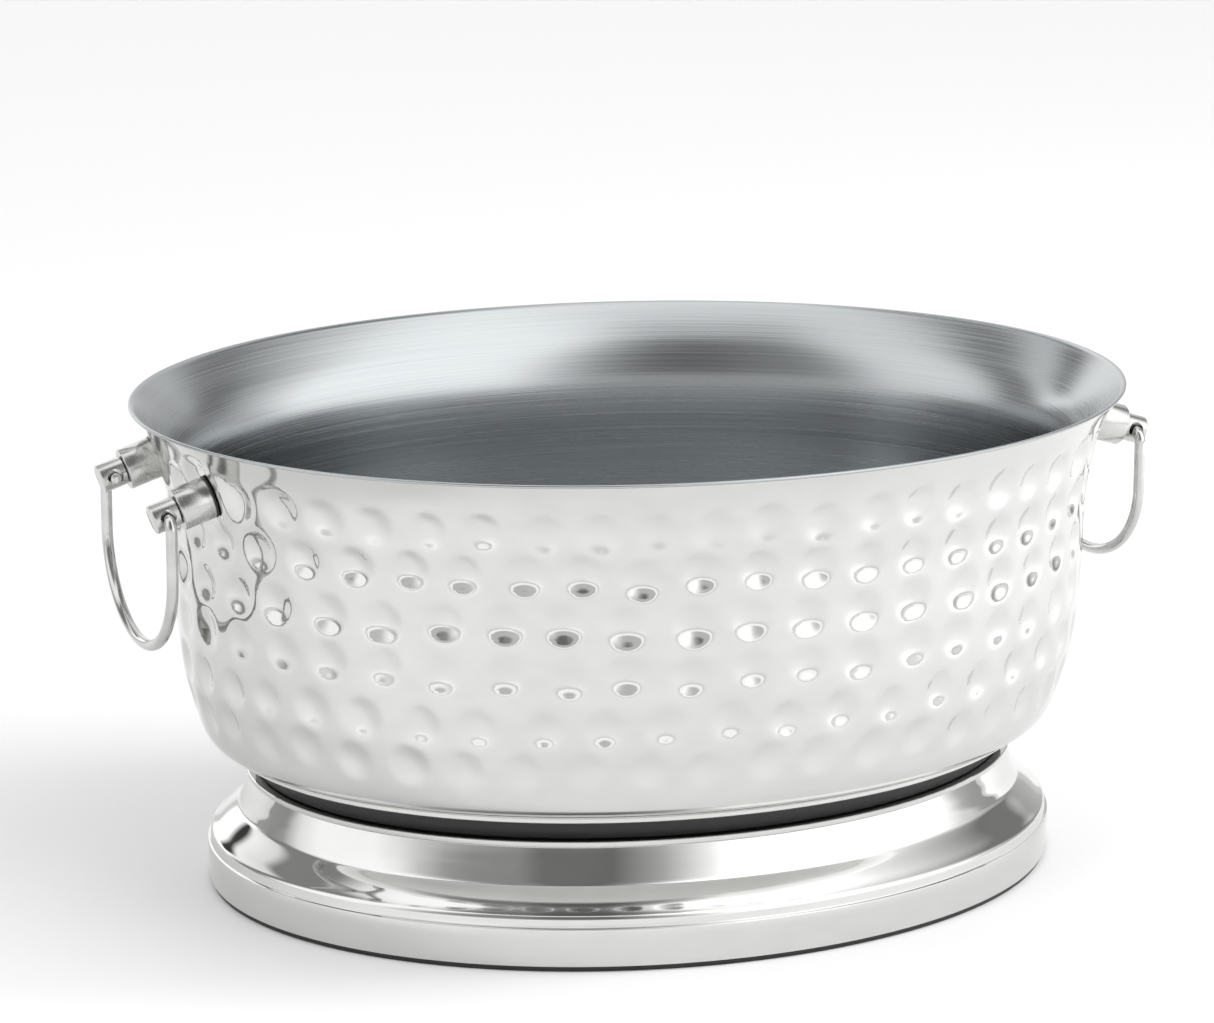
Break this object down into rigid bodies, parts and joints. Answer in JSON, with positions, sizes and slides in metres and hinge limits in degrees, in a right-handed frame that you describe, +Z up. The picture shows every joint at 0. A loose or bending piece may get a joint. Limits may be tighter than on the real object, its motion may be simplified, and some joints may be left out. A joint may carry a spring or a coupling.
{
  "type": "party tub",
  "caption": "Oval double-wall party tub in hammered polished steel, on a flared foot, with a swinging bail handle at each end.",
  "frame": {"origin": "on the surface the tub stands on, under its centre", "axes": "+X along the tub's length, through both handles; +Y across it; +Z up"},
  "size_m": [0.4648, 0.3766, 0.2149],
  "materials": {
    "polished_hammered_steel": "mirror polished, with hammered dimples",
    "satin_inner_steel": "satin, brushed around",
    "polished_foot_steel": "mirror polished",
    "satin_hardware": "turned, fine satin",
    "polished_rod": "polished",
    "black_rubber": "matt",
    "zinc_fasteners": "zinc plated"
  },
  "bodies": {
    "tub": {"outer_shell": "polished_hammered_steel", "inner_shell": "satin_inner_steel", "foot": "polished_foot_steel", "foot_edge_trim": "black_rubber", "waist_ring": "black_rubber", "foot_stud_1": "zinc_fasteners", "foot_washer_1": "zinc_fasteners", "foot_nut_1": "zinc_fasteners", "foot_stud_2": "zinc_fasteners", "foot_washer_2": "zinc_fasteners", "foot_nut_2": "zinc_fasteners", "foot_stud_3": "zinc_fasteners", "foot_washer_3": "zinc_fasteners", "foot_nut_3": "zinc_fasteners", "foot_stud_4": "zinc_fasteners", "foot_washer_4": "zinc_fasteners", "foot_nut_4": "zinc_fasteners", "foot_stud_5": "zinc_fasteners", "foot_washer_5": "zinc_fasteners", "foot_nut_5": "zinc_fasteners", "foot_stud_6": "zinc_fasteners", "foot_washer_6": "zinc_fasteners", "foot_nut_6": "zinc_fasteners", "left_front_post": "satin_hardware", "left_front_collar": "satin_hardware", "left_front_pad": "black_rubber", "left_front_back_washer": "zinc_fasteners", "left_front_jam_nut": "zinc_fasteners", "left_rear_post": "satin_hardware", "left_rear_collar": "satin_hardware", "left_rear_pad": "black_rubber", "left_rear_back_washer": "zinc_fasteners", "left_rear_jam_nut": "zinc_fasteners", "right_front_post": "satin_hardware", "right_front_collar": "satin_hardware", "right_front_pad": "black_rubber", "right_front_back_washer": "zinc_fasteners", "right_front_jam_nut": "zinc_fasteners", "right_rear_post": "satin_hardware", "right_rear_collar": "satin_hardware", "right_rear_pad": "black_rubber", "right_rear_back_washer": "zinc_fasteners", "right_rear_jam_nut": "zinc_fasteners"},
    "left_handle": {"left_bail": "polished_rod"},
    "right_handle": {"right_bail": "polished_rod"}
  },
  "joints": [
    {"name": "left_bail_hinge", "type": "hinge", "parent": "tub", "child": "left_handle", "pos_m": [-0.2252, 0, 0.1846], "axis": [0, 1, 0], "range_deg": [-15, 192]},
    {"name": "right_bail_hinge", "type": "hinge", "parent": "tub", "child": "right_handle", "pos_m": [0.2252, 0, 0.1846], "axis": [0, -1, 0], "range_deg": [-15, 192]}
  ]
}
